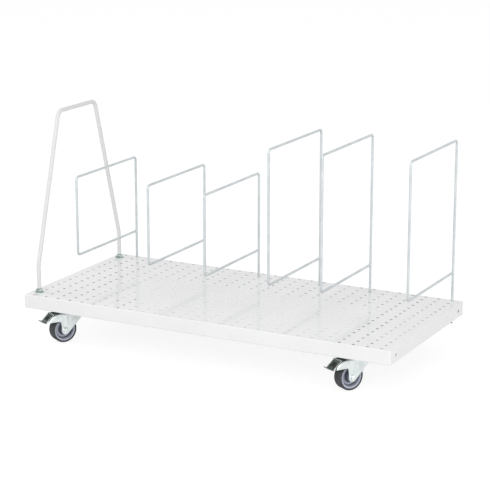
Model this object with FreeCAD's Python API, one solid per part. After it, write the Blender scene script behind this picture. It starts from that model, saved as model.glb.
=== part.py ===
import FreeCAD, Part
import math
import os

# Mobile cardboard rack, millimetres. The origin is on the floor under the middle of the deck,
# +X runs along the deck away from the push handle, +Y to the rear and +Z up.
Vector = FreeCAD.Vector
UP = Vector(0, 0, 1)
ORIGIN = Vector(0, 0, 0)

# How far a cut runs past the face that it opens, and how closely two levels agree
overcut = 1.0
tolerance = 0.01

# Deck tray: one folded sheet, perforated all over
deck_length = 1140.0
deck_depth = 520.0
tray_height = 40.0
deck_sheet = 1.5
bend_radius = 3.0
tray_corner_radius = 4.0
lip_beyond_row = 6.75
end_lip_width = 25.0
lip_opening_radius = 10.0
hole_pitch_x = 40.0
hole_pitch_y = 31.25
hole_margin_x = 30.0
hole_margin_y = 10.0
edge_hole_diameter = 8.5
edge_hole_inset = 37.0

# Cross channels that carry the castors under the deck
channel_overhang = 11.5
channel_sheet = 2.0
kingpin_access_diameter = 30.0

# Push handle
handle_diameter = 12.0
handle_end_inset = 25.0
handle_height = 508.0
handle_grip_length = 192.0
handle_knee_height = 80.0
handle_grip_bend = 24.0
handle_knee_bend = 70.0
handle_thread_end = 5.2
handle_hole_clearance = 0.25
handle_nut_flats = 18.0
handle_nut_height = 7.0
handle_washer_diameter = 26.0
handle_washer_thickness = 2.0

# Hexagon bolts and nuts: the round land on an end, as a share of half the flats, and its chamfer
hexagon_land = 1.06
hexagon_chamfer = 30.0

# Wire dividers; a column is counted from the left end, the middle or the right end of the deck,
# and a row is counted from the rear edge
divider_wire = 7.0
divider_leg_clearance = 0.9
divider_depth = 330.0
divider_low_height = 315.0
divider_high_height = 462.0
divider_bottom_height = 83.0
divider_bend = 10.0
divider_weld_bulge = 1.3
divider_weld_gap = 0.2
divider_tip_diameter = 5.0
divider_tip_reach = 26.0
tip_hole_clearance = 0.3
divider_places = [
    ("divider_low_left", "left", 1, 0, divider_low_height),
    ("divider_low_middle", "middle", -7, 0, divider_low_height),
    ("divider_low_right", "middle", -2, 1, divider_low_height),
    ("divider_high_left", "middle", 3, 1, divider_high_height),
    ("divider_high_middle", "middle", 7, 1, divider_high_height),
    ("divider_high_right", "right", 0, 0, divider_high_height),
]

# Castors
castor_left_inset = 113.0
castor_right_inset = 123.0
plate_end_gap = 6.0
front_castor_turn = -121.0
rear_castor_turn = -150.0
castor_trail = 38.0
wheel_diameter = 75.0
tyre_width = 30.0
tyre_thickness = 5.5
tyre_shoulder = 3.5
bond_gap = 0.05
rim_inset = 1.5
rim_thickness = 4.0
hub_step = 3.0
hub_web = 9.0
hub_boss_diameter = 24.0
hub_side_play = 1.0
axle_diameter = 8.0
sleeve_wall = 2.0
running_clearance = 0.05
axle_head_flats = 13.0
axle_head_height = 5.5
axle_nut_height = 6.5
axle_thread_end = 2.0
tyre_fork_gap = 3.0
fork_sheet = 2.5
fork_eye_radius = 12.0
fork_head_diameter = 58.0
fork_bend = 4.0
fork_throat_rise = 28.5
fork_throat_reach = 5.0
fork_back_reach = 15.0
fork_back_height = 14.5
fork_rib_width = 5.0
fork_rib_height = 0.8
fork_rib_rise = 20.0
fork_rib_setbacks = (4.0, 18.0)
horn_start = 20.0
horn_reach = 51.0
horn_radius = 34.0
wheel_headroom = 10.5
race_height = 11.5
race_thickness = 2.7
race_bore = 28.0
race_diameter = 48.0
race_cup_gap = 2.0
race_cup_wall = 2.0
race_cup_floor_gap = 4.0
ball_clearance = 0.1
ball_spacing = 1.5
plate_length = 77.0
plate_width = 67.0
plate_thickness = 2.5
plate_corner_radius = 6.0
plate_bolt_inset = 7.75
kingpin_diameter = 10.0
kingpin_flats = 16.0
kingpin_head_height = 6.4
kingpin_nut_height = 6.0
kingpin_nut_gap = 0.2
castor_bolt_diameter = 6.0
castor_bolt_flats = 10.0
castor_bolt_head = 4.0
castor_nut_height = 5.0
bolt_hole_clearance = 0.3

# Brake on the front castors
pedal_sheet = 2.0
pedal_side_gap = 0.5
pedal_pin_diameter = 5.0
pedal_pin_beyond_trail = 20.0
pedal_pin_under_crown = 8.0
pedal_ear_radius = 6.0
pedal_heel_reach = 14.0
pedal_heel_rise = 8.5
pedal_tread_run = 33.3
pedal_slope = 41.3
pedal_lip_run = 12.5
pedal_lip_rise = 23.0
pedal_corner_radius = 6.0
pedal_slot_length = 10.5
pedal_slot_width = 14.0
pedal_cheek_reach = 26.0
pedal_cheek_drop = 12.0
pedal_cheek_run = 22.0
shoe_width = 16.0
shoe_length = 5.0
shoe_height = 5.0
shoe_gap = 3.6
shoe_beyond_pin = 10.0
tongue_rise = 4.0

# Levels and places that follow from the sizes above
wheel_radius = wheel_diameter / 2
crown_under = wheel_diameter + wheel_headroom
crown_top = crown_under + fork_sheet
plate_under = crown_top + race_height
tray_bottom = plate_under + plate_thickness
deck_top = tray_bottom + tray_height
deck_under = deck_top - deck_sheet
lip_top = tray_bottom + deck_sheet
column_count = math.floor((deck_length - 2 * hole_margin_x) / hole_pitch_x + tolerance) + 1
row_count = math.floor((deck_depth - 2 * hole_margin_y) / hole_pitch_y + tolerance) + 1
hole_diameter = divider_wire + 2 * divider_leg_clearance
fork_gap = tyre_width + 2 * tyre_fork_gap
fork_half = fork_gap / 2 + fork_sheet
rim_width = tyre_width - 2 * rim_inset
race_cup_depth = race_height - race_cup_floor_gap
channel_width = plate_length + 2 * channel_overhang
handle_foot_drop = deck_sheet + handle_washer_thickness + handle_nut_height + handle_thread_end
pedal_half = fork_gap / 2 - pedal_side_gap


def column_x(column):
    return (column - (column_count - 1) / 2) * hole_pitch_x


def row_y(row_from_rear):
    return ((row_count - 1) / 2 - row_from_rear) * hole_pitch_y


# The long lips reach past the second row of holes, and the castors stand within the channels
lip_edge = row_y(1) - lip_beyond_row
castor_left_x = -deck_length / 2 + castor_left_inset
castor_right_x = deck_length / 2 - castor_right_inset
castor_y = lip_edge - plate_end_gap - plate_width / 2
handle_x = -deck_length / 2 + handle_end_inset
handle_y = row_y(1)


# Small shape helpers
def cylinder(radius, low, high, x=0.0, y=0.0):
    return Part.makeCylinder(radius, high - low, Vector(x, y, low))


def cross_cylinder(radius, start, end, x, z):
    return Part.makeCylinder(radius, end - start, Vector(x, start, z), Vector(0, 1, 0))


def box(low, high):
    size = high - low
    return Part.makeBox(size.x, size.y, size.z, low)


def hexagon(flats, low, high, x=0.0, y=0.0):
    corner = flats / math.sqrt(3)
    ring = [Vector(x + corner * math.cos(k * math.pi / 3), y + corner * math.sin(k * math.pi / 3), low)
            for k in range(7)]
    height = high - low
    prism = Part.Face(Part.makePolygon(ring)).extrude(UP * height)
    land = flats / 2 * hexagon_land
    foot = land + height / math.tan(math.radians(hexagon_chamfer))
    upper = Part.makeCone(foot, land, height, Vector(x, y, low))
    lower = Part.makeCone(land, foot, height, Vector(x, y, low))
    return prism.common(upper).common(lower)


def rounded_box(low, high, corner):
    solid = box(low, high)
    upright = [edge for edge in solid.Edges
               if edge.BoundBox.XLength < tolerance and edge.BoundBox.YLength < tolerance]
    return solid.makeFillet(corner, upright)


def side_plate(points, start, end):
    # a flat plate whose outline lies in the X-Z plane and whose thickness runs along Y
    ring = [Vector(x, start, z) for x, z in points]
    return curved_plate(Part.makePolygon(ring + ring[:1]), end - start)


def curved_plate(outline, thickness):
    return Part.Face(outline).extrude(Vector(0, thickness, 0))


def line(start, end):
    return Part.LineSegment(start, end).toShape()


def bent_rod(points, bends, radius):
    # a round rod along straight runs, with a tangent arc of the given radius at each inner point
    edges = []
    start = points[0]
    for before, corner, after, bend in zip(points, points[1:], points[2:], bends):
        inward = (before - corner).normalize()
        outward = (after - corner).normalize()
        half = inward.getAngle(outward) / 2
        setback = bend / math.tan(half)
        first = corner + inward * setback
        last = corner + outward * setback
        middle_line = (inward + outward).normalize()
        middle = corner + middle_line * (bend / math.sin(half) - bend)
        edges.append(line(start, first))
        edges.append(Part.Arc(first, middle, last).toShape())
        start = last
    edges.append(line(start, points[-1]))
    path = Part.Wire(edges)
    section = Part.Wire(Part.makeCircle(radius, points[0], (points[1] - points[0]).normalize()))
    return path.makePipeShell([section], True, False)


def save(name, *solids):
    shape = solids[0] if len(solids) == 1 else Part.makeCompound(list(solids))
    shape.exportStep("parts/" + name + ".step")


# Deck tray
def folded_block(inset):
    # a block with the tray's rounded corners and bends, set in from the tray's outside
    low = Vector(-deck_length / 2 + inset, -deck_depth / 2 + inset, tray_bottom + inset)
    high = Vector(deck_length / 2 - inset, deck_depth / 2 - inset, deck_top - inset)
    solid = rounded_box(low, high, tray_corner_radius - inset)
    level = [edge for edge in solid.Edges if edge.BoundBox.ZLength < tolerance]
    return solid.makeFillet(bend_radius - inset, level)


def deck_tray():
    shell = folded_block(0.0).cut(folded_block(deck_sheet))
    open_x = deck_length / 2 - end_lip_width
    opening = rounded_box(Vector(-open_x, -lip_edge, tray_bottom - overcut),
                          Vector(open_x, lip_edge, lip_top + overcut), lip_opening_radius)
    cuts = [opening]
    handle_holes = [(0, 1), (0, row_count - 2)]
    for column in range(column_count):
        for row in range(row_count):
            if (column, row) not in handle_holes:
                cuts.append(cylinder(hole_diameter / 2, deck_under - overcut, deck_top + overcut,
                                     column_x(column), row_y(row)))
    for y in (-handle_y, handle_y):
        cuts.append(cylinder(handle_diameter / 2 + handle_hole_clearance, deck_under - overcut,
                             deck_top + overcut, handle_x, y))
    for row in (0, 1):
        for column in range(column_count):
            radius = divider_tip_diameter / 2 + tip_hole_clearance
            cuts.append(cylinder(radius, tray_bottom - overcut, lip_top + overcut,
                                 column_x(column), row_y(row)))
    for end in (-1, 1):
        for side in (-1, 1):
            place = Vector(end * (deck_length / 2 + overcut), side * (deck_depth / 2 - edge_hole_inset),
                           deck_top - tray_height / 2)
            depth = deck_sheet + 2 * overcut
            cuts.append(Part.makeCylinder(edge_hole_diameter / 2, depth, place, Vector(-end, 0, 0)))
    return shell.cut(cuts)


def cross_channel(middle):
    low = Vector(middle - channel_width / 2, -lip_edge, tray_bottom)
    high = Vector(middle + channel_width / 2, lip_edge, deck_under)
    inside_low = low + Vector(channel_sheet, -overcut, channel_sheet)
    inside_high = high + Vector(-channel_sheet, overcut, overcut)
    channel = box(low, high).cut(box(inside_low, inside_high))
    cuts = []
    for end in (-1, 1):
        y = end * castor_y
        cuts.append(cylinder(kingpin_access_diameter / 2, tray_bottom - overcut,
                             tray_bottom + channel_sheet + overcut, middle, y))
        for dx, dy in bolt_places():
            cuts.append(cylinder(castor_bolt_diameter / 2 + bolt_hole_clearance, tray_bottom - overcut,
                                 tray_bottom + channel_sheet + overcut, middle + dx, y + dy))
    return channel.cut(cuts)


# Push handle and its fasteners
def push_handle():
    foot = deck_top - handle_foot_drop
    knee = deck_top + handle_knee_height
    grip = deck_top + handle_height
    half = handle_grip_length / 2
    points = [Vector(handle_x, -handle_y, foot), Vector(handle_x, -handle_y, knee),
              Vector(handle_x, -half, grip), Vector(handle_x, half, grip),
              Vector(handle_x, handle_y, knee), Vector(handle_x, handle_y, foot)]
    bends = [handle_knee_bend, handle_grip_bend, handle_grip_bend, handle_knee_bend]
    return bent_rod(points, bends, handle_diameter / 2)


def on_handle_feet(make):
    bore = handle_diameter / 2 + running_clearance
    solids = []
    for y in (-handle_y, handle_y):
        solid, low, high = make(y)
        solids.append(solid.cut(cylinder(bore, low - overcut, high + overcut, handle_x, y)))
    return solids


def handle_washers(low):
    high = low + handle_washer_thickness
    return on_handle_feet(lambda y: (cylinder(handle_washer_diameter / 2, low, high, handle_x, y), low, high))


def handle_nuts(low):
    high = low + handle_nut_height
    return on_handle_feet(lambda y: (hexagon(handle_nut_flats, low, high, handle_x, y), low, high))


# Wire dividers
def divider_column(counted_from, step):
    first = {"left": 0, "middle": column_count // 2, "right": column_count - 1}
    return first[counted_from] + step


def wire_divider(column, row, height):
    radius = divider_wire / 2
    x = column_x(column)
    rear = row_y(row)
    front = rear - divider_depth
    top = deck_top + height
    bottom = deck_top + divider_bottom_height
    points = [Vector(x, rear, lip_top), Vector(x, rear, top), Vector(x, front, top),
              Vector(x, front, bottom), Vector(x, rear - radius - divider_weld_gap, bottom)]
    loop = bent_rod(points, [divider_bend] * 3, radius)
    # the weld bead, its axis slanted so that its seam follows neither wire
    weld = Part.makeSphere(radius + divider_weld_bulge, Vector(x, rear - radius, bottom), Vector(1, 1, 1))
    tip =cylinder(divider_tip_diameter / 2, tray_bottom - divider_tip_reach, lip_top + overcut, x, rear)
    return loop.fuse([weld, tip]).removeSplitter()


# Castor pieces, first in the castor's own frame: the kingpin on the Z axis, the wheel trailing
# along +X and the axle along Y
def bolt_places():
    half_x = plate_length / 2 - plate_bolt_inset
    half_y = plate_width / 2 - plate_bolt_inset
    return [(x, y) for x in (-half_x, half_x) for y in (-half_y, half_y)]


def ring(inner, outer, low, high):
    return cylinder(outer, low, high).cut(cylinder(inner, low - overcut, high + overcut))


def top_plate():
    low = Vector(-plate_length / 2, -plate_width / 2, plate_under)
    high = Vector(plate_length / 2, plate_width / 2, tray_bottom)
    plate = rounded_box(low, high, plate_corner_radius)
    cup = race_diameter / 2 + race_cup_gap
    race = ring(race_bore / 2, cup + race_cup_wall, plate_under - race_thickness, plate_under)
    skirt = ring(cup, cup + race_cup_wall, plate_under - race_cup_depth, plate_under)
    holes = [cylinder(kingpin_diameter / 2 + running_clearance, plate_under - overcut, tray_bottom + overcut)]
    for x, y in bolt_places():
        holes.append(cylinder(castor_bolt_diameter / 2 + bolt_hole_clearance, plate_under - overcut,
                              tray_bottom + overcut, x, y))
    return plate.fuse([race, skirt]).cut(holes).removeSplitter()


def ball_ring():
    low = crown_top + race_thickness
    high = plate_under - race_thickness
    radius = (high - low) / 2 - ball_clearance
    track = (race_bore + race_diameter) / 4
    ball_count = math.floor(2 * math.pi * track / (2 * radius + ball_spacing))
    balls = []
    for k in range(ball_count):
        angle = 2 * math.pi * k / ball_count
        place = Vector(track * math.cos(angle), track * math.sin(angle), (low + high) / 2)
        balls.append(Part.makeSphere(radius, place))
    return balls


def kingpin():
    head_top = tray_bottom + kingpin_head_height
    nut_top = crown_under - kingpin_nut_gap
    nut_low = nut_top - kingpin_nut_height
    shank = cylinder(kingpin_diameter / 2, nut_low, head_top - kingpin_head_height / 2)
    head = hexagon(kingpin_flats, tray_bottom, head_top)
    nut = hexagon(kingpin_flats, nut_low, nut_top)
    nut = nut.cut(cylinder(kingpin_diameter / 2 + running_clearance, nut_low - overcut, nut_top + overcut))
    return [shank.fuse(head), nut]


def pedal_pin_place():
    return castor_trail + pedal_pin_beyond_trail, crown_top - pedal_pin_under_crown


def fork_outline(braked, y):
    # the side of the fork in the X-Z plane: crown, back edge, axle eye and throat, with a horn that
    # reaches ahead over the wheel where there is a brake
    eye = fork_eye_radius
    back = -fork_back_reach
    corner_rise = crown_top - fork_back_height - wheel_radius
    corner_run = castor_trail - back
    slant = math.atan2(corner_rise, corner_run) + math.asin(eye / math.hypot(corner_rise, corner_run))
    eye_start = 1.5 * math.pi - slant
    eye_middle = (eye_start + 2 * math.pi) / 2
    axle_place = Vector(castor_trail, y, wheel_radius)
    eye_points = [axle_place + Vector(math.cos(angle), 0, math.sin(angle)) * eye
                  for angle in (eye_start, eye_middle, 2 * math.pi)]
    throat_centre = Vector(castor_trail + eye + fork_throat_reach, y, wheel_radius)
    throat_top = throat_centre + UP * fork_throat_rise
    throat_ellipse = Part.Ellipse(throat_top, eye_points[2], throat_centre)
    edges = [Part.Arc(*eye_points).toShape(), Part.ArcOfEllipse(throat_ellipse, 0, math.pi / 2).toShape()]
    crown_end = Vector(throat_top.x, y, crown_top)
    if braked:
        crown_end = Vector(castor_trail + horn_start, y, crown_top)
        tip_angle = math.acos((horn_reach - horn_start) / horn_radius)
        centre = crown_end - UP * horn_radius
        half_way, tip = [centre + Vector(math.cos(angle), 0, math.sin(angle)) * horn_radius
                         for angle in ((tip_angle + math.pi / 2) / 2, tip_angle)]
        tip_foot = Vector(tip.x, y, throat_top.z)
        edges += [line(throat_top, tip_foot), line(tip_foot, tip),
                  Part.Arc(tip, half_way, crown_end).toShape()]
    else:
        edges.append(line(throat_top, crown_end))
    back_top = Vector(back, y, crown_top)
    back_foot = back_top - UP * fork_back_height
    edges += [line(crown_end, back_top), line(back_top, back_foot), line(back_foot, eye_points[0])]
    return Part.Wire(Part.__sortEdges__(edges))


def fork(braked):
    half = fork_half
    gap = fork_gap / 2
    side = curved_plate(fork_outline(braked, -half), 2 * half)
    bends = [edge for edge in side.Edges
             if abs(abs(edge.CenterOfMass.y) - half) < tolerance
             and abs(edge.CenterOfMass.z - crown_top) < tolerance]
    side = side.makeFillet(fork_bend, bends)
    far = castor_trail + wheel_diameter
    crown_front = castor_trail + fork_eye_radius
    above = crown_top + overcut
    hollow = [(-far, 0), (-far, crown_under), (crown_front, crown_under),
              (crown_front, above), (far, above), (far, 0)]
    body = side.cut(side_plate(hollow, -gap, gap))
    crown = cylinder(fork_head_diameter / 2, crown_under, crown_top)
    race = ring(race_bore / 2, race_diameter / 2, crown_top, crown_top + race_thickness)
    joins = [crown, race]
    for start in (-half - fork_rib_height, half):
        for setback in fork_rib_setbacks:
            joins.append(fork_rib(start, castor_trail - setback))
    eye_hole = axle_diameter / 2 + running_clearance
    kingpin_hole = kingpin_diameter / 2 + running_clearance
    cuts = [cylinder(kingpin_hole, crown_under - overcut, crown_top + overcut),
            cross_cylinder(eye_hole, -half - overcut, half + overcut, castor_trail, wheel_radius)]
    if braked:
        pin_radius = pedal_pin_diameter / 2
        cuts.append(cross_cylinder(pin_radius, -half - overcut, half + overcut, *pedal_pin_place()))
    return body.fuse(joins).cut(cuts).removeSplitter()


def fork_rib(start, x):
    # a raised upright rib with round ends, pressed into the side of the fork above the axle eye
    low = Vector(x, start, wheel_radius + fork_rib_rise)
    high = Vector(x, start, crown_under - fork_rib_width)
    along = UP * (fork_rib_width / 2)
    across = Vector(fork_rib_width / 2, 0, 0)
    high_end = Part.Arc(high + across, high + along, high - across).toShape()
    low_end = Part.Arc(low - across, low - along, low + across).toShape()
    outline = Part.Wire([line(low + across, high + across), high_end,
                         line(high - across, low - across), low_end])
    return curved_plate(outline, fork_rib_height)


def wheel_hub():
    width = fork_gap - 2 * hub_side_play
    rim = wheel_radius - tyre_thickness - bond_gap
    bore = axle_diameter / 2 + sleeve_wall + running_clearance
    boss = hub_boss_diameter / 2
    half_rim = rim_width / 2
    half_web = hub_web / 2
    inner = rim - rim_thickness
    section = [(bore, width / 2), (boss, width / 2), (boss, half_web + hub_step), (boss + hub_step, half_web),
               (inner - hub_step, half_web), (inner - hub_step, half_web + hub_step),
               (inner, half_web + hub_step), (inner, half_rim), (rim, half_rim)]
    mirrored = [(r, -y) for r, y in reversed(section)]
    points = [Vector(castor_trail + r, y, wheel_radius) for r, y in section + mirrored]
    face = Part.Face(Part.makePolygon(points + points[:1]))
    return face.revolve(Vector(castor_trail, 0, wheel_radius), Vector(0, 1, 0), 360)


def tyre():
    solid = cross_cylinder(wheel_radius, -tyre_width / 2, tyre_width / 2, castor_trail, wheel_radius)
    rims = [edge for edge in solid.Edges if isinstance(edge.Curve, Part.Circle)]
    solid = solid.makeFillet(tyre_shoulder, rims)
    inner = wheel_radius - tyre_thickness
    return solid.cut(cross_cylinder(inner, -tyre_width, tyre_width, castor_trail, wheel_radius))


def along_axle(solid):
    # turns a piece made along Z on to the axle, its +Z to +Y
    solid.rotate(ORIGIN, Vector(1, 0, 0), -90)
    solid.translate(Vector(castor_trail, 0, wheel_radius))
    return solid


def axle():
    nut_end = -fork_half - axle_nut_height
    shank = cylinder(axle_diameter / 2, nut_end - axle_thread_end, fork_half + axle_head_height / 2)
    head = hexagon(axle_head_flats, fork_half, fork_half + axle_head_height)
    nut = hexagon(axle_head_flats, nut_end, -fork_half)
    bore = cylinder(axle_diameter / 2 + running_clearance, nut_end - overcut, -fork_half + overcut)
    nut = nut.cut(bore)
    return [along_axle(shank.fuse(head)), along_axle(nut)]


def axle_sleeve():
    half = fork_gap / 2
    inner = axle_diameter / 2 + running_clearance
    return along_axle(ring(inner, axle_diameter / 2 + sleeve_wall, -half, half))


def pedal_run(start, length, angle):
    return start[0] + length * math.cos(angle), start[1] - length * math.sin(angle)


def brake_pedal():
    # a bent tread plate on two cheeks that hang on the pin, with a tongue between them down to the shoe
    pin_x, pin_z = pedal_pin_place()
    half = pedal_half
    slope = math.radians(pedal_slope)
    heel = (pin_x + pedal_heel_reach, pin_z + pedal_heel_rise)
    toe = pedal_run(heel, pedal_tread_run, slope)
    lip = pedal_run(toe, pedal_lip_run, -math.radians(pedal_lip_rise))
    top = [heel, toe, lip]
    under = [(x, z - pedal_sheet) for x, z in reversed(top)]
    low = wheel_radius
    high = heel[1] + overcut
    tread = side_plate(top + under, -half, half)
    rounding = rounded_box(Vector(pin_x - half, -half, low), Vector(lip[0], half, high), pedal_corner_radius)
    slot_x = (heel[0] + toe[0]) / 2
    slot = box(Vector(slot_x - pedal_slot_length / 2, -pedal_slot_width / 2, low),
               Vector(slot_x + pedal_slot_length / 2, pedal_slot_width / 2, high))
    tread = tread.common(rounding).cut(slot)
    joins = []
    cheek_end = pedal_run(heel, pedal_cheek_run, slope)
    for start in (-half, half - pedal_sheet):
        end = start + pedal_sheet
        cheek = side_plate([(pin_x, pin_z - pedal_ear_radius),
                            (pin_x + pedal_cheek_reach, pin_z - pedal_cheek_drop),
                            (cheek_end[0], cheek_end[1] - pedal_sheet / 2),
                            (heel[0], heel[1] - pedal_sheet / 2),
                            (pin_x, pin_z + pedal_ear_radius)], start, end)
        joins.append(cheek.fuse(cross_cylinder(pedal_ear_radius, start, end, pin_x, pin_z)))
    shoe_x = pin_x + shoe_beyond_pin
    joins.append(box(Vector(shoe_x - pedal_sheet / 2, -half, shoe_bottom() + shoe_height),
                     Vector(shoe_x + pedal_sheet / 2, half, pin_z + tongue_rise)))
    bore = pedal_pin_diameter / 2 + running_clearance
    return tread.fuse(joins).cut(cross_cylinder(bore, -half, half, pin_x, pin_z)).removeSplitter()


def shoe_bottom():
    pin_x = pedal_pin_place()[0]
    inside = pin_x + shoe_beyond_pin - shoe_length / 2 - castor_trail
    return wheel_radius + math.sqrt(wheel_radius ** 2 - inside ** 2) + shoe_gap


def brake_shoe():
    shoe_x = pedal_pin_place()[0] + shoe_beyond_pin
    low = Vector(shoe_x - shoe_length / 2, -shoe_width / 2, shoe_bottom())
    high = Vector(shoe_x + shoe_length / 2, shoe_width / 2, shoe_bottom() + shoe_height)
    return box(low, high)


def pedal_pin():
    pin_x, pin_z = pedal_pin_place()
    return cross_cylinder(pedal_pin_diameter / 2 - running_clearance, -fork_half, fork_half, pin_x, pin_z)


def at_castor(solids, turn, x, y):
    placed = []
    for solid in solids:
        copy = solid.copy()
        copy.rotate(ORIGIN, UP, turn)
        copy.translate(Vector(x, y, 0))
        placed.append(copy)
    return placed


def castor_fasteners():
    head_low = plate_under - castor_bolt_head
    web_top = tray_bottom + channel_sheet
    nut_top = web_top + castor_nut_height
    bolts = []
    nuts = []
    for middle in (castor_left_x, castor_right_x):
        for end in (-1, 1):
            for dx, dy in bolt_places():
                x = middle + dx
                y = end * castor_y + dy
                head = hexagon(castor_bolt_flats, head_low, plate_under, x, y)
                shank = cylinder(castor_bolt_diameter / 2, plate_under - castor_bolt_head / 2, nut_top, x, y)
                bolts.append(head.fuse(shank))
                bore = cylinder(castor_bolt_diameter / 2 + running_clearance, web_top - overcut,
                                nut_top + overcut, x, y)
                nuts.append(hexagon(castor_bolt_flats, web_top, nut_top, x, y).cut(bore))
    return bolts, nuts


os.makedirs("parts", exist_ok=True)

save("deck_tray", deck_tray())
save("cross_channel_left", cross_channel(castor_left_x))
save("cross_channel_right", cross_channel(castor_right_x))

save("push_handle", push_handle())
save("handle_washers_upper", *handle_washers(deck_top))
save("handle_nuts_upper", *handle_nuts(deck_top + handle_washer_thickness))
save("handle_washers_lower", *handle_washers(deck_under - handle_washer_thickness))
save("handle_nuts_lower", *handle_nuts(deck_under - handle_washer_thickness - handle_nut_height))

for name, counted_from, step, row, height in divider_places:
    save(name, wire_divider(divider_column(counted_from, step), row, height))

for place, x, y in (("front_left", castor_left_x, -castor_y), ("front_right", castor_right_x, -castor_y),
                    ("rear_left", castor_left_x, castor_y), ("rear_right", castor_right_x, castor_y)):
    braked = place.startswith("front")
    turn = front_castor_turn if braked else rear_castor_turn
    plate = top_plate()
    plate.translate(Vector(x, y, 0))
    save(place + "_top_plate", plate)
    pieces = {"ball_ring": ball_ring(), "kingpin": kingpin(), "fork": [fork(braked)], "axle": axle(),
              "axle_sleeve": [axle_sleeve()], "wheel_hub": [wheel_hub()], "tyre": [tyre()]}
    if braked:
        pieces["brake_pedal"] = [brake_pedal()]
        pieces["brake_shoe"] = [brake_shoe()]
        pieces["pedal_pin"] = [pedal_pin()]
    for piece, solids in pieces.items():
        save(place + "_" + piece, *at_castor(solids, turn, x, y))

bolts, nuts = castor_fasteners()
save("castor_bolts", *bolts)
save("castor_nuts", *nuts)
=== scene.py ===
from math import atan2, cos, pi, radians, sin, tan

import bmesh
import bpy
from mathutils import Matrix, Vector, noise


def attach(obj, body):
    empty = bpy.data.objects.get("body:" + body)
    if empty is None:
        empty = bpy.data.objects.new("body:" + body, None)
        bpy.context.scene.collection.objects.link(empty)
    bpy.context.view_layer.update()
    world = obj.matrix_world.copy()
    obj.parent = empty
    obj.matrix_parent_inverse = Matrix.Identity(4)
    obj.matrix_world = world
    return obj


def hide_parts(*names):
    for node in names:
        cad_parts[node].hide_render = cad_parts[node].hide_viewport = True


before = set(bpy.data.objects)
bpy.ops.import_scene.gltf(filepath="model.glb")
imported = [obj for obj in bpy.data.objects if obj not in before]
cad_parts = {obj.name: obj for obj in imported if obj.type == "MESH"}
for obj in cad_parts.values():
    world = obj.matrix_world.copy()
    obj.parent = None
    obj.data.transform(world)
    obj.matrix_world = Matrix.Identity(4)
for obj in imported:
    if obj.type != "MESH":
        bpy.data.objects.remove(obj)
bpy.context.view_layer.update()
mm = 0.001    # the pieces' dictionaries give millimetres
print("frame loaded:", len(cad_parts), "nodes")

# node helpers shared by the finishes
noiseReach = (0.3, 0.7)    # most of a noise texture lies between these


def tint(red, green, blue):
    # screen levels to the linear colour of a shader socket
    return tuple(((part / 255 + 0.055) / 1.055) ** 2.4 for part in (red, green, blue)) + (1.0,)


def startFinish(name, metallic):
    finish = bpy.data.materials.new(name)
    finish.use_nodes = True
    shader = finish.node_tree.nodes["Principled BSDF"]
    shader.inputs["Metallic"].default_value = metallic
    return finish, finish.node_tree, shader


def addPattern(tree, kind, scale, stretch=(1, 1, 1), detail=None):
    place = tree.nodes.new("ShaderNodeTexCoord")
    mapping = tree.nodes.new("ShaderNodeMapping")
    mapping.inputs["Scale"].default_value = stretch
    texture = tree.nodes.new(kind)
    texture.inputs["Scale"].default_value = scale
    if detail is not None:
        texture.inputs["Detail"].default_value = detail
    tree.links.new(place.outputs["Object"], mapping.inputs["Vector"])
    tree.links.new(mapping.outputs["Vector"], texture.inputs["Vector"])
    return texture


def blendTints(tree, value, dark, light, low=0.35, high=0.65):
    ramp = tree.nodes.new("ShaderNodeValToRGB")
    ramp.color_ramp.elements[0].position = low
    ramp.color_ramp.elements[0].color = dark
    ramp.color_ramp.elements[1].position = high
    ramp.color_ramp.elements[1].color = light
    tree.links.new(value, ramp.inputs["Fac"])
    return ramp.outputs["Color"]


def spread(tree, value, low, high):
    mapRange = tree.nodes.new("ShaderNodeMapRange")
    mapRange.inputs["From Min"].default_value = noiseReach[0]
    mapRange.inputs["From Max"].default_value = noiseReach[1]
    mapRange.inputs["To Min"].default_value = low
    mapRange.inputs["To Max"].default_value = high
    tree.links.new(value, mapRange.inputs["Value"])
    return mapRange.outputs["Result"]


def mixTints(tree, factor, first, second):
    mix = tree.nodes.new("ShaderNodeMix")
    mix.data_type = "RGBA"    # its colour sockets are inputs 6 and 7 and output 2
    tree.links.new(factor, mix.inputs["Factor"])
    tree.links.new(first, mix.inputs[6])
    mix.inputs[7].default_value = second
    return mix.outputs[2]


def addBump(tree, shader, height, strength, depth):
    bump = tree.nodes.new("ShaderNodeBump")
    bump.inputs["Strength"].default_value = strength
    bump.inputs["Distance"].default_value = depth
    tree.links.new(height, bump.inputs["Height"])
    tree.links.new(bump.outputs["Normal"], shader.inputs["Normal"])


# sprayed paint: slow mottling, a little gloss change and fine orange peel
paintLooks = {
    "deck_paint": {"dark": tint(231, 232, 231), "light": tint(235, 236, 235), "gloss": (0.08, 0.13)},
    "handle_paint": {"dark": tint(219, 219, 219), "light": tint(224, 224, 224), "gloss": (0.35, 0.45)},
}
paintGrain = {"mottle": 5, "cloud": 45, "peel": 650, "relief": 0.02, "depth": 0.4}


def makePaint(name, look):
    finish, tree, shader = startFinish(name, metallic=0.0)
    mottle = addPattern(tree, "ShaderNodeTexNoise", paintGrain["mottle"], detail=3)
    colour = blendTints(tree, mottle.outputs[0], look["dark"], look["light"])
    tree.links.new(colour, shader.inputs["Base Color"])
    cloud = addPattern(tree, "ShaderNodeTexNoise", paintGrain["cloud"], detail=3)
    tree.links.new(spread(tree, cloud.outputs[0], *look["gloss"]), shader.inputs["Roughness"])
    peel = addPattern(tree, "ShaderNodeTexNoise", paintGrain["peel"], detail=2)
    addBump(tree, shader, peel.outputs[0], paintGrain["relief"], paintGrain["depth"] * mm)
    return finish


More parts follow.
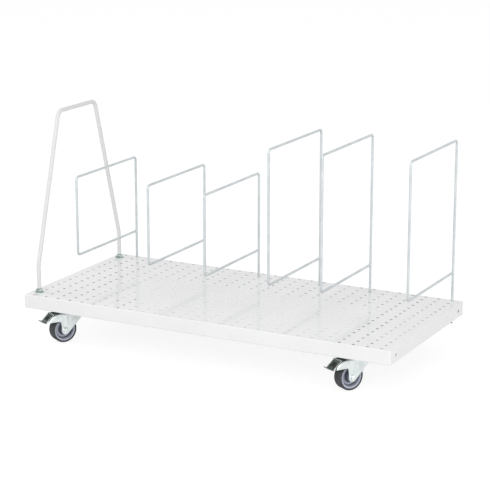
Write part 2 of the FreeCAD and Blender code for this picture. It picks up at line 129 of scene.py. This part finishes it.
# zinc plating: brighter and duller patches, fine drawing or rolling marks
zincLooks = {
    "zinc_wire": {"dark": tint(199, 205, 207), "light": tint(211, 216, 218), "gloss": (0.45, 0.55),
                  "patch": 22, "metal": 0.7},
    "zinc_fastener": {"dark": tint(150, 164, 161), "light": tint(188, 200, 197), "gloss": (0.26, 0.4),
                      "patch": 110, "metal": 1.0},
    "bearing_steel": {"dark": tint(176, 178, 182), "light": tint(205, 207, 210), "gloss": (0.12, 0.22),
                      "patch": 300, "metal": 1.0},
}
zincGrain = {"hazePerPatch": 3, "grain": 1400, "relief": 0.02, "depth": 0.2}


def makeZinc(name, look):
    finish, tree, shader = startFinish(name, look["metal"])
    patch = addPattern(tree, "ShaderNodeTexNoise", look["patch"], detail=4)
    colour = blendTints(tree, patch.outputs[0], look["dark"], look["light"])
    tree.links.new(colour, shader.inputs["Base Color"])
    haze = addPattern(tree, "ShaderNodeTexNoise", look["patch"] * zincGrain["hazePerPatch"], detail=3)
    tree.links.new(spread(tree, haze.outputs[0], *look["gloss"]), shader.inputs["Roughness"])
    grain = addPattern(tree, "ShaderNodeTexNoise", zincGrain["grain"], detail=2)
    addBump(tree, shader, grain.outputs[0], zincGrain["relief"], zincGrain["depth"] * mm)
    return finish


# galvanised sheet: crystal spangles under long rolling streaks, partly painted shade bands like those of
# shaded ribs
sheetLook = {"dark": tint(222, 229, 228), "light": tint(235, 239, 239), "shade": tint(208, 217, 216),
             "gloss": (0.3, 0.42), "metal": 0.85, "spangle": 150, "crystals": (0.1, 0.9), "streak": 60,
             "streakStretch": (1, 1, 0.08), "streaked": 0.7, "relief": 0.05, "depth": 0.3}


def makeSheet(name, look):
    finish, tree, shader = startFinish(name, look["metal"])
    spangle = addPattern(tree, "ShaderNodeTexVoronoi", look["spangle"])
    split = tree.nodes.new("ShaderNodeSeparateColor")
    tree.links.new(spangle.outputs["Color"], split.inputs["Color"])
    crystals = blendTints(tree, split.outputs[0], look["dark"], look["light"], *look["crystals"])
    streak = addPattern(tree, "ShaderNodeTexNoise", look["streak"], stretch=look["streakStretch"], detail=5)
    # painted shade: the streaks pull the colour towards the shade tint in vertical bands
    bandShade = spread(tree, streak.outputs[0], look["streaked"], 0.0)
    tree.links.new(mixTints(tree, bandShade, crystals, look["shade"]), shader.inputs["Base Color"])
    tree.links.new(spread(tree, split.outputs[1], *look["gloss"]), shader.inputs["Roughness"])
    addBump(tree, shader, streak.outputs[0], look["relief"], look["depth"] * mm)
    return finish


# olive passivated pedal: cloudy colour, rubbed bright along its edges
pedalLook = {"dark": tint(62, 72, 66), "light": tint(104, 116, 108), "rubbed": tint(178, 186, 180),
             "gloss": (0.3, 0.45), "metal": 0.75, "cloud": 140, "edge": (0.52, 0.6), "scratch": 900,
             "relief": 0.08, "depth": 0.2}


def makePedal(name, look):
    finish, tree, shader = startFinish(name, look["metal"])
    cloud = addPattern(tree, "ShaderNodeTexNoise", look["cloud"], detail=5)
    olive = blendTints(tree, cloud.outputs[0], look["dark"], look["light"])
    shape = tree.nodes.new("ShaderNodeNewGeometry")
    edge = tree.nodes.new("ShaderNodeMapRange")
    edge.inputs["From Min"].default_value = look["edge"][0]
    edge.inputs["From Max"].default_value = look["edge"][1]
    tree.links.new(shape.outputs["Pointiness"], edge.inputs["Value"])
    colour = mixTints(tree, edge.outputs["Result"], olive, look["rubbed"])
    tree.links.new(colour, shader.inputs["Base Color"])
    tree.links.new(spread(tree, cloud.outputs[0], *look["gloss"]), shader.inputs["Roughness"])
    scratch = addPattern(tree, "ShaderNodeTexNoise", look["scratch"], detail=3)
    addBump(tree, shader, scratch.outputs[0], look["relief"], look["depth"] * mm)
    return finish


# moulded plastic and rubber: fine grain, slight blush, dull patches
mouldedLooks = {
    "hub_plastic": {"dark": tint(176, 180, 196), "light": tint(190, 193, 208), "gloss": (0.4, 0.55),
                    "blush": 60, "grain": 1500, "relief": 0.06, "recess": tint(66, 68, 80)},
    "tyre_rubber": {"dark": tint(44, 46, 48), "light": tint(64, 66, 68), "gloss": (0.55, 0.8),
                    "blush": 90, "grain": 1100, "relief": 0.2},
    "shoe_rubber": {"dark": tint(34, 35, 36), "light": tint(52, 53, 54), "gloss": (0.65, 0.85),
                    "blush": 200, "grain": 900, "relief": 0.2},
}
mouldedDepth = 0.3


def makeMoulded(name, look):
    finish, tree, shader = startFinish(name, metallic=0.0)
    blush = addPattern(tree, "ShaderNodeTexNoise", look["blush"], detail=5)
    colour = blendTints(tree, blush.outputs[0], look["dark"], look["light"])
    if "recess" in look:
        # painted shade in the hub's hollows, from the mesh's own attribute
        shadeAmount = tree.nodes.new("ShaderNodeAttribute")
        shadeAmount.attribute_name = "recess"
        colour = mixTints(tree, shadeAmount.outputs["Fac"], colour, look["recess"])
    tree.links.new(colour, shader.inputs["Base Color"])
    tree.links.new(spread(tree, blush.outputs[0], *look["gloss"]), shader.inputs["Roughness"])
    grain = addPattern(tree, "ShaderNodeTexNoise", look["grain"], detail=2)
    addBump(tree, shader, grain.outputs[0], look["relief"], mouldedDepth * mm)
    return finish


finishes = {name: makePaint(name, look) for name, look in paintLooks.items()}
finishes.update({name: makeZinc(name, look) for name, look in zincLooks.items()})
finishes.update({name: makeMoulded(name, look) for name, look in mouldedLooks.items()})
finishes["zinc_sheet"] = makeSheet("zinc_sheet", sheetLook)
finishes["pedal_zinc"] = makePedal("pedal_zinc", pedalLook)
print("finishes made:", len(finishes))

# mesh helpers
flatWidth = 1.5 * mm    # area over outline length, past which a face counts as wide
levelNormal = 0.99999
mergeGap = 1e-6


def addPiece(bm, name, body, slotName, replaced=(), sharpAngle=34, finishName=None):
    bm.normal_update()
    for face in bm.faces:
        # level and wide faces stay flat, so that rounded rims do not shade into them
        wide = face.calc_area() > flatWidth * face.calc_perimeter()
        face.smooth = not wide and abs(face.normal.z) < levelNormal
    mesh = bpy.data.meshes.new(name)
    bm.to_mesh(mesh)
    bm.free()
    mesh.materials.append(finishes[finishName or slotName])
    mesh.set_sharp_from_angle(angle=radians(sharpAngle))
    piece = bpy.data.objects.new(name, mesh)
    bpy.context.collection.objects.link(piece)
    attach(piece, body)
    if replaced:
        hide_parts(*replaced)


def plainName(node):
    first, *rest = node.split("_")
    return first + "".join(word.title() for word in rest)


def edgesOf(geometry):
    return [item for item in geometry if isinstance(item, bmesh.types.BMEdge)]


def vertsOf(geometry):
    return [item for item in geometry if isinstance(item, bmesh.types.BMVert)]


def ringAt(bm, centre, heading, radius, sides):
    turn = heading.to_track_quat("Z", "Y").to_matrix().to_4x4()
    made = bmesh.ops.create_circle(bm, cap_ends=True, radius=radius, segments=sides,
                                   matrix=Matrix.Translation(centre) @ turn)
    return list({edge for vert in made["verts"] for edge in vert.link_edges})


def pushRing(bm, ring, move, grow=1.0, about=None):
    # one more straight length of rod, or a step where the ring only grows
    made = bmesh.ops.extrude_edge_only(bm, edges=ring)["geom"]
    fresh = vertsOf(made)
    bmesh.ops.translate(bm, verts=fresh, vec=move)
    if about is not None:
        for vert in fresh:
            vert.co = about + (vert.co - about) * grow
    return [edge for edge in edgesOf(made) if all(vert in fresh for vert in edge.verts)]


def startBlunt(bm, foot, radius, chamfer, sides):
    # a rod's end that stands on foot, with a small chamfer
    ring = ringAt(bm, foot, up, (radius - chamfer) * mm, sides)
    rise = up * chamfer * mm
    return pushRing(bm, ring, rise, radius / (radius - chamfer), foot + rise)


def runRod(bm, ring, corners, bends, arcSteps):
    # straight runs by extruding the ring, bends by spinning it
    here = corners[0]
    for corner, after, bend in zip(corners[1:], corners[2:], bends):
        into = (corner - here).normalized()
        out = (after - corner).normalized()
        angle = into.angle(out)
        start = corner - into * bend * tan(angle / 2)
        ring = pushRing(bm, ring, start - here)
        axis = into.cross(out).normalized()
        made = bmesh.ops.spin(bm, geom=ring, cent=start + axis.cross(into) * bend, axis=axis,
                              angle=angle, steps=arcSteps)
        ring = edgesOf(made["geom_last"])
        here = corner + out * bend * tan(angle / 2)
    return pushRing(bm, ring, corners[-1] - here)


def closeMesh(bm):
    bmesh.ops.holes_fill(bm, edges=[edge for edge in bm.edges if edge.is_boundary])
    bmesh.ops.remove_doubles(bm, verts=bm.verts, dist=mergeGap)
    bmesh.ops.recalc_face_normals(bm, faces=bm.faces)


up = Vector((0, 0, 1))

# push handle: one bent rod, rolled thread on both feet
handleLook = {"x": -545, "footY": 218.75, "gripY": 96, "footZ": 126.3, "threadTop": 153, "kneeZ": 222,
              "gripZ": 650, "radius": 6, "kneeBend": 70, "gripBend": 24, "sides": 32, "arcSteps": 14}
# the ridge of the thread: crest and top of its root as shares of the pitch
threadLook = {"core": 5.35, "pitch": 1.75, "sink": 0.1, "crest": (0.45, 0.6), "rootTop": 0.97, "steps": 24}


def makeHandle(look, thread):
    bm = bmesh.new()
    corners = [Vector((look["x"], y, z)) * mm for y, z in (
        (-look["footY"], look["threadTop"]), (-look["footY"], look["kneeZ"]),
        (-look["gripY"], look["gripZ"]), (look["gripY"], look["gripZ"]),
        (look["footY"], look["kneeZ"]), (look["footY"], look["threadTop"]))]
    bends = [look[key] * mm for key in ("kneeBend", "gripBend", "gripBend", "kneeBend")]
    ring = ringAt(bm, corners[0], up, look["radius"] * mm, look["sides"])
    runRod(bm, ring, corners, bends, look["arcSteps"])
    closeMesh(bm)
    addPiece(bm, "pushHandle", "rack", "handle_paint", ("push_handle",))

    threads = bmesh.new()
    root = thread["core"] - thread["sink"]
    pitch = thread["pitch"]
    low, high = thread["crest"]
    ridge = ((root, thread["sink"]), (look["radius"], pitch * low), (look["radius"], pitch * high),
             (root, pitch * thread["rootTop"]))
    length = look["threadTop"] - look["footZ"]
    turns = int((length - pitch) / pitch)
    for y in (-look["footY"], look["footY"]):
        foot = Vector((look["x"], y, look["footZ"])) * mm
        core = ringAt(threads, foot, up, thread["core"] * mm, look["sides"])
        pushRing(threads, core, up * length * mm)
        profile = [threads.verts.new(foot + Vector((radius, 0, height)) * mm) for radius, height in ridge]
        edges = [threads.edges.new(pair) for pair in zip(profile, profile[1:] + profile[:1])]
        bmesh.ops.spin(threads, geom=edges, cent=foot, axis=up, angle=turns * 2 * pi,
                       steps=turns * thread["steps"], dvec=up * pitch * mm / thread["steps"])
    closeMesh(threads)
    addPiece(threads, "handleThreads", "rack", "zinc_fastener")


makeHandle(handleLook, threadLook)
print("push handle made")

# wire dividers: a loop on one rear leg, thinned at the foot, its end welded to the leg
dividerLook = {"radius": 3.5, "tipRadius": 2.5, "tipChamfer": 0.6, "tipZ": 76, "shoulderZ": 103.5,
               "bottomZ": 225, "depth": 330, "bend": 10, "sides": 24, "arcSteps": 10, "sharp": 50,
               "weld": 4.8, "weldWave": 0.35, "weldWaveScale": 700, "weldFineness": 4}
# dark sleeves on the leg ends: painted shade under the deck
shadeCapLook = {"radius": 2.6, "top": 86}
# place, x and y of the leg, top of the loop
dividerPlaces = [("low_left", -500, 250, 457), ("low_middle", -260, 250, 457),
                 ("low_right", -60, 218.75, 457), ("high_left", 140, 218.75, 604),
                 ("high_middle", 300, 218.75, 604), ("high_right", 540, 250, 604)]


def addWeld(bm, joint, look):
    # uneven bead
    bead = bmesh.ops.create_icosphere(bm, subdivisions=look["weldFineness"], radius=look["weld"] * mm,
                                      matrix=Matrix.Translation(joint))["verts"]
    for vert in bead:
        wave = noise.noise(vert.co * look["weldWaveScale"])
        vert.co += (vert.co - joint).normalized() * wave * look["weldWave"] * mm


def makeDivider(place, x, rear, top, look):
    bm = bmesh.new()
    tip = Vector((x, rear, look["tipZ"])) * mm
    shoulder = Vector((x, rear, look["shoulderZ"])) * mm
    chamfer = look["tipChamfer"]
    ring = startBlunt(bm, tip, look["tipRadius"], chamfer, look["sides"])
    ring = pushRing(bm, ring, shoulder - tip - up * chamfer * mm)
    ring = pushRing(bm, ring, Vector(), look["radius"] / look["tipRadius"], shoulder)
    front = rear - look["depth"]
    corners = [shoulder] + [Vector((x, y, z)) * mm for y, z in (
        (rear, top), (front, top), (front, look["bottomZ"]), (rear, look["bottomZ"]))]
    runRod(bm, ring, corners, [look["bend"] * mm] * (len(corners) - 2), look["arcSteps"])
    closeMesh(bm)
    addWeld(bm, Vector((x, rear - look["radius"], look["bottomZ"])) * mm, look)
    node = "divider_" + place
    addPiece(bm, plainName(node), place + "_divider", "zinc_wire", (node,), look["sharp"])


def makeShadeCap(place, x, rear, look):
    # dark sleeve on the end of the leg, painted shade for the end in the shadow under the deck
    shadeCap = bmesh.new()
    chamfer = dividerLook["tipChamfer"]
    under = Vector((x, rear, dividerLook["tipZ"] - chamfer / 2)) * mm
    ring = startBlunt(shadeCap, under, look["radius"], chamfer, dividerLook["sides"])
    pushRing(shadeCap, ring, up * (look["top"] * mm - under.z - chamfer * mm))
    closeMesh(shadeCap)
    addPiece(shadeCap, plainName("cap_" + place), place + "_divider", "shoe_rubber")


for place, x, rear, top in dividerPlaces:
    makeDivider(place, x, rear, top, dividerLook)
    makeShadeCap(place, x, rear, shadeCapLook)
print("dividers made:", len(dividerPlaces))

# castor wheels: spun sections in the castor's own frame, then turned and moved to their pivots
# x, y and turn of each pivot
castorPlaces = {"front_left": (-457, -172.5, -121), "front_right": (447, -172.5, -121),
                "rear_left": (-457, 172.5, -150), "rear_right": (447, 172.5, -150)}
castorLook = {"trail": 38, "axleZ": 37.5}


def swivelMatrix(place):
    x, y, turn = castorPlaces[place]
    return Matrix.Translation(Vector((x, y, 0)) * mm) @ Matrix.Rotation(radians(turn), 4, "Z")


def wheelMatrix(place):
    axle = Vector((castorLook["trail"], 0, castorLook["axleZ"])) * mm
    return swivelMatrix(place) @ Matrix.Translation(axle)


def spinSection(section, corners, rounding, segments, steps):
    # section: (radius, along the axle) pairs; corners: which of them are rounded
    bm = bmesh.new()
    verts = [bm.verts.new(Vector((radius, along, 0)) * mm) for radius, along in section]
    for pair in zip(verts, verts[1:] + verts[:1]):
        bm.edges.new(pair)
    bmesh.ops.bevel(bm, geom=[verts[k] for k in corners], offset=rounding * mm, offset_type="OFFSET",
                    affect="VERTICES", segments=segments, profile=0.5, material=-1)
    bmesh.ops.spin(bm, geom=bm.verts[:] + bm.edges[:], cent=(0, 0, 0), axis=(0, 1, 0), angle=2 * pi,
                   steps=steps, use_merge=True)
    bmesh.ops.remove_doubles(bm, verts=bm.verts, dist=mergeGap)
    bmesh.ops.recalc_face_normals(bm, faces=bm.faces)
    return bm


tyreLook = {"outer": 37.5, "inner": 32, "half": 15, "shoulder": 3.5, "shoulderSteps": 6, "groove": 0.6,
            "grooves": (-8, -2.7, 2.7, 8), "grooveHalf": 0.6, "floorHalf": 0.3, "steps": 96, "sharp": 40}


def makeTyre(place, look):
    outer = look["outer"]
    floor = outer - look["groove"]
    section = [(look["inner"], -look["half"]), (outer, -look["half"])]
    for middle in look["grooves"]:
        section += [(outer, middle - look["grooveHalf"]), (floor, middle - look["floorHalf"]),
                    (floor, middle + look["floorHalf"]), (outer, middle + look["grooveHalf"])]
    section += [(outer, look["half"]), (look["inner"], look["half"])]
    shoulders = (1, len(section) - 2)
    bm = spinSection(section, shoulders, look["shoulder"], look["shoulderSteps"], look["steps"])
    bm.transform(wheelMatrix(place))
    node = place + "_tyre"
    addPiece(bm, plainName(node), place + "_wheel", "tyre_rubber", (node,), look["sharp"])


# radius, along the axle, painted shade in the hollow
hubLook = {"side": ((6.05, 17, 0), (12, 17, 0.7), (12.4, 6, 1), (13.5, 4.6, 1), (16.5, 4.6, 0.8),
                    (19, 4.6, 0.15), (22.5, 4.6, 0.1), (23.2, 4, 0.75), (25, 4, 0.95), (25.4, 7.6, 0.65),
                    (27, 8.6, 0.5), (27.6, 13.5, 0), (31.95, 13.5, 0)),
           "edge": 0.5, "edgeSteps": 3, "steps": 80}


def makeHub(place, look):
    side = look["side"]
    section = [(radius, along) for radius, along, shadeAmount in side]
    section += [(radius, -along) for radius, along in reversed(section)]
    last = len(side)
    # the corners at the bore and the rim stay sharp
    corners = [k for k in range(len(section)) if k not in (0, last - 1, last, len(section) - 1)]
    bm = spinSection(section, corners, look["edge"], look["edgeSteps"], look["steps"])
    # painted shade: each vertex takes the darkening of the nearest step of the section
    recess = bm.verts.layers.float.new("recess")
    for vert in bm.verts:
        radius = Vector((vert.co.x, vert.co.z)).length / mm
        near = min(side, key=lambda step: abs(step[0] - radius) + abs(step[1] - abs(vert.co.y) / mm))
        vert[recess] = near[2]
    bm.transform(wheelMatrix(place))
    node = place + "_wheel_hub"
    addPiece(bm, plainName(node), place + "_wheel", "hub_plastic", (node,))


for place in castorPlaces:
    makeTyre(place, tyreLook)
    makeHub(place, hubLook)
print("wheels made:", len(castorPlaces))

# pressed, cut and turned metal: the CAD shape with its sharp edges broken
# weld in metres, flat, corner and sharp in degrees
softLook = {"weld": 2e-6, "flat": 0.3, "corner": 30, "segments": 2, "sharp": 40}


def softenNode(node, body, slotName, width, finishName=None):
    bm = bmesh.new()
    bm.from_mesh(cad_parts[node].data)
    bmesh.ops.remove_doubles(bm, verts=bm.verts, dist=softLook["weld"])
    bmesh.ops.dissolve_limit(bm, angle_limit=radians(softLook["flat"]), use_dissolve_boundaries=False,
                             verts=bm.verts, edges=bm.edges, delimit=set())
    sharp = [edge for edge in bm.edges
             if edge.is_manifold and edge.calc_face_angle(0) > radians(softLook["corner"])]
    bmesh.ops.bevel(bm, geom=sharp, offset=width * mm, offset_type="OFFSET", affect="EDGES",
                    segments=softLook["segments"], profile=0.5, material=-1, clamp_overlap=True)
    bmesh.ops.dissolve_degenerate(bm, dist=softLook["weld"], edges=bm.edges)
    addPiece(bm, plainName(node), body, slotName, (node,), softLook["sharp"], finishName)


# slot and width of the broken edge
rackSoft = {"handle_washers_upper": ("zinc_fastener", 0.35), "handle_nuts_upper": ("zinc_fastener", 0.35),
            "handle_washers_lower": ("zinc_fastener", 0.35), "handle_nuts_lower": ("zinc_fastener", 0.35),
            "castor_bolts": ("zinc_fastener", 0.2), "castor_nuts": ("zinc_fastener", 0.2),
            "cross_channel_left": ("deck_paint", 0.4), "cross_channel_right": ("deck_paint", 0.4)}
castorSoft = {"top_plate": 0.4, "fork": 0.5, "axle": 0.3}
pedalSoft = {"brake_pedal": ("pedal_zinc", 0.5), "brake_shoe": ("shoe_rubber", 0.5)}
brakedPlaces = ("front_left", "front_right")

for node, (slotName, width) in rackSoft.items():
    softenNode(node, "rack", slotName, width)
for place in castorPlaces:
    softenNode(place + "_top_plate", "rack", "zinc_sheet", castorSoft["top_plate"])
    softenNode(place + "_fork", place + "_swivel", "zinc_sheet", castorSoft["fork"])
    softenNode(place + "_axle", place + "_swivel", "zinc_fastener", castorSoft["axle"], "zinc_sheet")
    if place in brakedPlaces:
        for part, (slotName, width) in pedalSoft.items():
            softenNode(place + "_" + part, place + "_pedal", slotName, width)
print("metal edges broken")

# pedal trim: a dark rubber pad under the slot, painted shade seen through it, and worn beads along three
# sides of the tread
trimLook = {"heel": (72, 88.5), "toe": (97, 66.5), "half": 17.5, "sheet": 1.5, "pad": (15, 17, 1.5),
            "bead": 2.0, "beadHigh": 1.2, "crossHigh": 1.1, "edge": 0.35, "edgeSteps": 2}


def addBar(bm, middle, size, slope, look):
    matrix = Matrix.Translation(Vector(middle) * mm) @ Matrix.Rotation(slope, 4, "Y")
    made = bmesh.ops.create_cube(bm, size=1, matrix=matrix @ Matrix.Diagonal(Vector(size) * mm).to_4x4())
    edges = list({line for vert in made["verts"] for line in vert.link_edges})
    bmesh.ops.bevel(bm, geom=edges, offset=look["edge"] * mm, offset_type="OFFSET", affect="EDGES",
                    segments=look["edgeSteps"], profile=0.5, material=-1)


def makeTrim(place, look):
    heel = Vector((look["heel"][0], 0, look["heel"][1]))
    toe = Vector((look["toe"][0], 0, look["toe"][1]))
    slope = atan2(heel.z - toe.z, toe.x - heel.x)
    outward = Vector((sin(slope), 0, cos(slope)))
    middle = (heel + toe) / 2
    # dark pad under the slot: painted shade, so that the slot looks dark
    pad = bmesh.new()
    addBar(pad, middle - outward * (look["sheet"] + look["pad"][2] / 2), look["pad"], slope, look)
    pad.transform(swivelMatrix(place))
    addPiece(pad, plainName(place + "_pedal_pad"), place + "_pedal", "shoe_rubber")

    beads = bmesh.new()
    bead = look["bead"]
    along = toe - heel
    for y in (-look["half"] + bead / 2, look["half"] - bead / 2):
        addBar(beads, middle + Vector((0, y, 0)), (along.length, bead, look["beadHigh"]), slope, look)
    # the cross bead ends inside the two others, a little lower
    crossSize = (bead, 2 * look["half"] - bead, look["crossHigh"])
    addBar(beads, heel + along.normalized() * bead / 2, crossSize, slope, look)
    beads.transform(swivelMatrix(place))
    addPiece(beads, plainName(place + "_pedal_beads"), place + "_pedal", "pedal_zinc",
             finishName="zinc_sheet")


for place in brakedPlaces:
    makeTrim(place, trimLook)
print("pedal trim made")

# the deck, folded and punched in the CAD, and the hidden steel keep their CAD mesh
keptFinishes = {"deck_tray": "deck_paint", "ball_ring": "bearing_steel", "kingpin": "zinc_fastener",
                "axle_sleeve": "bearing_steel", "pedal_pin": "zinc_sheet"}
for node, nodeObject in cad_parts.items():
    for ending, finishName in keptFinishes.items():
        if node.endswith(ending):
            nodeObject.data.materials.clear()
            nodeObject.data.materials.append(finishes[finishName])
print("finishes given to the kept nodes")

# floor, white room and lamps, in metres
stageLook = {"floorSize": 14, "floorGlow": 0.84, "floorShade": 0.24, "bounce": 0.86, "roomLight": 0.62,
             "backdrop": 1.0, "white": (1, 1, 1, 1)}


def seenDirectly(tree):
    # 1 for the rays that should meet a white background
    path = tree.nodes.new("ShaderNodeLightPath")
    total = path.outputs["Is Camera Ray"]
    for ray in ("Is Glossy Ray", "Is Transmission Ray"):
        joined = tree.nodes.new("ShaderNodeMath")
        joined.operation = "MAXIMUM"
        tree.links.new(total, joined.inputs[0])
        tree.links.new(path.outputs[ray], joined.inputs[1])
        total = joined.outputs[0]
    return total


def pickByRay(tree, other, direct, output):
    pick = tree.nodes.new("ShaderNodeMixShader")
    tree.links.new(seenDirectly(tree), pick.inputs["Fac"])
    tree.links.new(other.outputs[0], pick.inputs[1])
    tree.links.new(direct.outputs[0], pick.inputs[2])
    tree.links.new(pick.outputs[0], tree.nodes[output].inputs["Surface"])


def addMatt(tree, level):
    matt = tree.nodes.new("ShaderNodeBsdfDiffuse")
    matt.inputs["Color"].default_value = (level,) * 3 + (1,)
    return matt


def makeFloor(look):
    finish = bpy.data.materials.new("floorWhite")
    finish.use_nodes = True
    tree = finish.node_tree
    tree.nodes.remove(tree.nodes["Principled BSDF"])
    bounce = addMatt(tree, look["bounce"])
    shade = addMatt(tree, look["floorShade"])    # this part of the white takes the shadow
    glow = tree.nodes.new("ShaderNodeEmission")
    glow.inputs["Strength"].default_value = look["floorGlow"]
    both = tree.nodes.new("ShaderNodeAddShader")
    tree.links.new(shade.outputs[0], both.inputs[0])
    tree.links.new(glow.outputs[0], both.inputs[1])
    pickByRay(tree, bounce, both, "Material Output")
    bm = bmesh.new()
    bmesh.ops.create_grid(bm, x_segments=2, y_segments=2, size=look["floorSize"])
    mesh = bpy.data.meshes.new("floor")
    bm.to_mesh(mesh)
    bm.free()
    mesh.materials.append(finish)
    floor = bpy.data.objects.new("floor", mesh)
    bpy.context.collection.objects.link(floor)


def makeRoom(look):
    room = bpy.data.worlds.new("whiteRoom")
    bpy.context.scene.world = room
    room.use_nodes = True
    tree = room.node_tree
    soft = tree.nodes["Background"]
    soft.inputs["Color"].default_value = look["white"]
    soft.inputs["Strength"].default_value = look["roomLight"]
    bright = tree.nodes.new("ShaderNodeBackground")
    bright.inputs["Color"].default_value = look["white"]
    bright.inputs["Strength"].default_value = look["backdrop"]
    pickByRay(tree, soft, bright, "World Output")


lampLook = {"frontSoft": {"place": (1.2, -4.2, 2.6), "size": 3.0, "power": 90},
            "leftSoft": {"place": (-3.8, -0.8, 3.0), "size": 2.5, "power": 45},
            "rightSoft": {"place": (4.2, -0.6, 1.4), "size": 2.5, "power": 33}}
lampAim = Vector((0, 0, 0.25))


def makeLamp(name, look):
    lamp = bpy.data.lights.new(name, "AREA")
    lamp.energy = look["power"]
    lamp.size = look["size"]
    lampObject = bpy.data.objects.new(name, lamp)
    lampObject.location = look["place"]
    lampObject.rotation_euler = (lampAim - Vector(look["place"])).to_track_quat("-Z", "Y").to_euler()
    bpy.context.collection.objects.link(lampObject)


makeFloor(stageLook)
makeRoom(stageLook)
for name, look in lampLook.items():
    makeLamp(name, look)
print("stage and lamps made")

# camera at the photograph's angle
cameraLook = {"place": (2.2673, -4.2898, 1.5538), "azimuth": 27.763, "elevation": 14.523, "lens": 130.35,
              "sensor": 36}
cameraData = bpy.data.cameras.new("camera")
cameraData.lens = cameraLook["lens"]
cameraData.sensor_width = cameraLook["sensor"]
camera = bpy.data.objects.new("camera", cameraData)
camera.location = cameraLook["place"]
camera.rotation_euler = (radians(90 - cameraLook["elevation"]), 0, radians(cameraLook["azimuth"]))
bpy.context.collection.objects.link(camera)
bpy.context.scene.camera = camera
bpy.context.scene.view_settings.view_transform = "Standard"
print("camera set")
